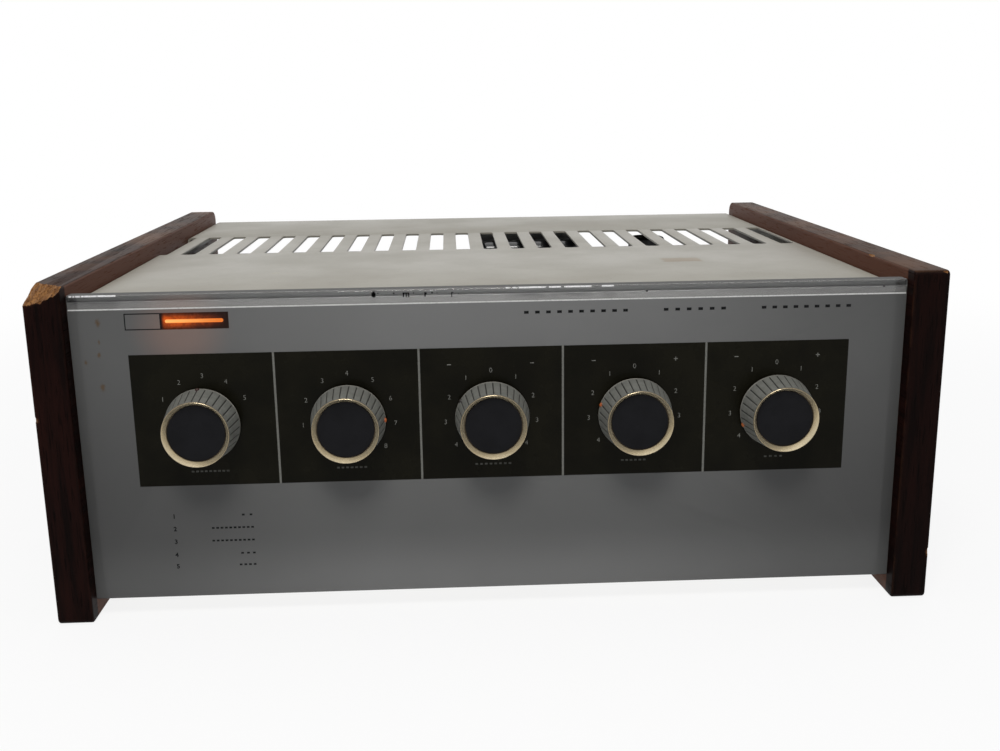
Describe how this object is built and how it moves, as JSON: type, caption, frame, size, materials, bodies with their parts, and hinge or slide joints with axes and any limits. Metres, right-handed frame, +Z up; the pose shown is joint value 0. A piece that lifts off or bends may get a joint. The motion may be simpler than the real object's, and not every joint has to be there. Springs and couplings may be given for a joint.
{
  "type": "integrated amplifier",
  "caption": "Hi-fi integrated amplifier with fluted knobs on a grey fascia with a black dial strip, a slotted beige steel cover and dark wooden side panels.",
  "frame": {"origin": "bottom centre of the bounding box, on the surface that the side panels stand on", "axes": "+X along the fascia to the right as seen from the front, +Y from the fascia to the back, +Z up"},
  "size_m": [0.3914, 0.3412, 0.1509],
  "materials": {
    "walnut": "satin",
    "beige_paint": "satin",
    "grey_paint": "satin",
    "back_painted_acrylic": "gloss",
    "amber_plastic": "gloss",
    "lamp_glass": "gloss",
    "zinc_plate": "satin",
    "turned_aluminium": "satin",
    "dark_inlay": "satin",
    "nickel_plate": "polished",
    "paxolin": "satin",
    "valve_glass": "gloss",
    "cream_ceramic": "satin",
    "black_plastic": "satin",
    "lamination_iron": "matte",
    "winding": "matte",
    "black_enamel": "gloss",
    "rubber": "matte"
  },
  "bodies": {
    "case": {"side_panel_left": "walnut", "side_panel_right": "walnut", "top_cover": "beige_paint", "front_panel": "grey_paint", "back_panel": "grey_paint", "fascia_window": "back_painted_acrylic", "base_plate": "zinc_plate", "chassis": "zinc_plate", "lamp_holder": "zinc_plate", "lamp_window": "amber_plastic", "pilot_lamp": "lamp_glass", "selector_switch": "paxolin", "volume_pot": "zinc_plate", "balance_pot": "zinc_plate", "treble_pot": "zinc_plate", "bass_pot": "zinc_plate", "output_valve_1": "valve_glass", "output_valve_2": "valve_glass", "output_valve_3": "valve_glass", "output_valve_4": "valve_glass", "preamp_valve_1": "valve_glass", "preamp_valve_2": "valve_glass", "output_valve_1_holder": "cream_ceramic", "output_valve_2_holder": "cream_ceramic", "output_valve_3_holder": "cream_ceramic", "output_valve_4_holder": "cream_ceramic", "preamp_valve_1_holder": "cream_ceramic", "preamp_valve_2_holder": "cream_ceramic", "smoothing_capacitor": "black_plastic", "mains_transformer_core": "lamination_iron", "mains_transformer_coil": "winding", "mains_transformer_front_cap": "black_enamel", "mains_transformer_rear_cap": "black_enamel", "output_transformer_left_core": "lamination_iron", "output_transformer_left_coil": "winding", "output_transformer_right_core": "lamination_iron", "output_transformer_right_coil": "winding", "input_socket_strip": "paxolin", "speaker_terminals_left": "paxolin", "speaker_terminals_right": "paxolin", "component_board": "paxolin", "fuse_holder": "black_plastic", "voltage_selector": "black_plastic", "mains_cord_grommet": "rubber"},
    "selector": {"selector_knob": "turned_aluminium", "selector_knob_disc": "dark_inlay", "selector_spindle": "nickel_plate"},
    "volume": {"volume_knob": "turned_aluminium", "volume_knob_disc": "dark_inlay", "volume_spindle": "nickel_plate"},
    "balance": {"balance_knob": "turned_aluminium", "balance_knob_disc": "dark_inlay", "balance_spindle": "nickel_plate"},
    "treble": {"treble_knob": "turned_aluminium", "treble_knob_disc": "dark_inlay", "treble_spindle": "nickel_plate"},
    "bass": {"bass_knob": "turned_aluminium", "bass_knob_disc": "dark_inlay", "bass_spindle": "nickel_plate"}
  },
  "joints": [
    {"name": "selector_turn", "type": "hinge", "parent": "case", "child": "selector", "pos_m": [-0.1265, -0.15335, 0.0893], "axis": [0, 1, 0], "range_deg": [-60, 60]},
    {"name": "volume_turn", "type": "hinge", "parent": "case", "child": "volume", "pos_m": [-0.0638, -0.15335, 0.0893], "axis": [0, 1, 0], "range_deg": [-223, 47]},
    {"name": "balance_turn", "type": "hinge", "parent": "case", "child": "balance", "pos_m": [-0.0011, -0.15335, 0.0893], "axis": [0, 1, 0], "range_deg": [-76, 194]},
    {"name": "treble_turn", "type": "hinge", "parent": "case", "child": "treble", "pos_m": [0.0616, -0.15335, 0.0893], "axis": [0, 1, 0], "range_deg": [-63, 207]},
    {"name": "bass_turn", "type": "hinge", "parent": "case", "child": "bass", "pos_m": [0.1243, -0.15335, 0.0893], "axis": [0, 1, 0], "range_deg": [-24, 246]}
  ]
}
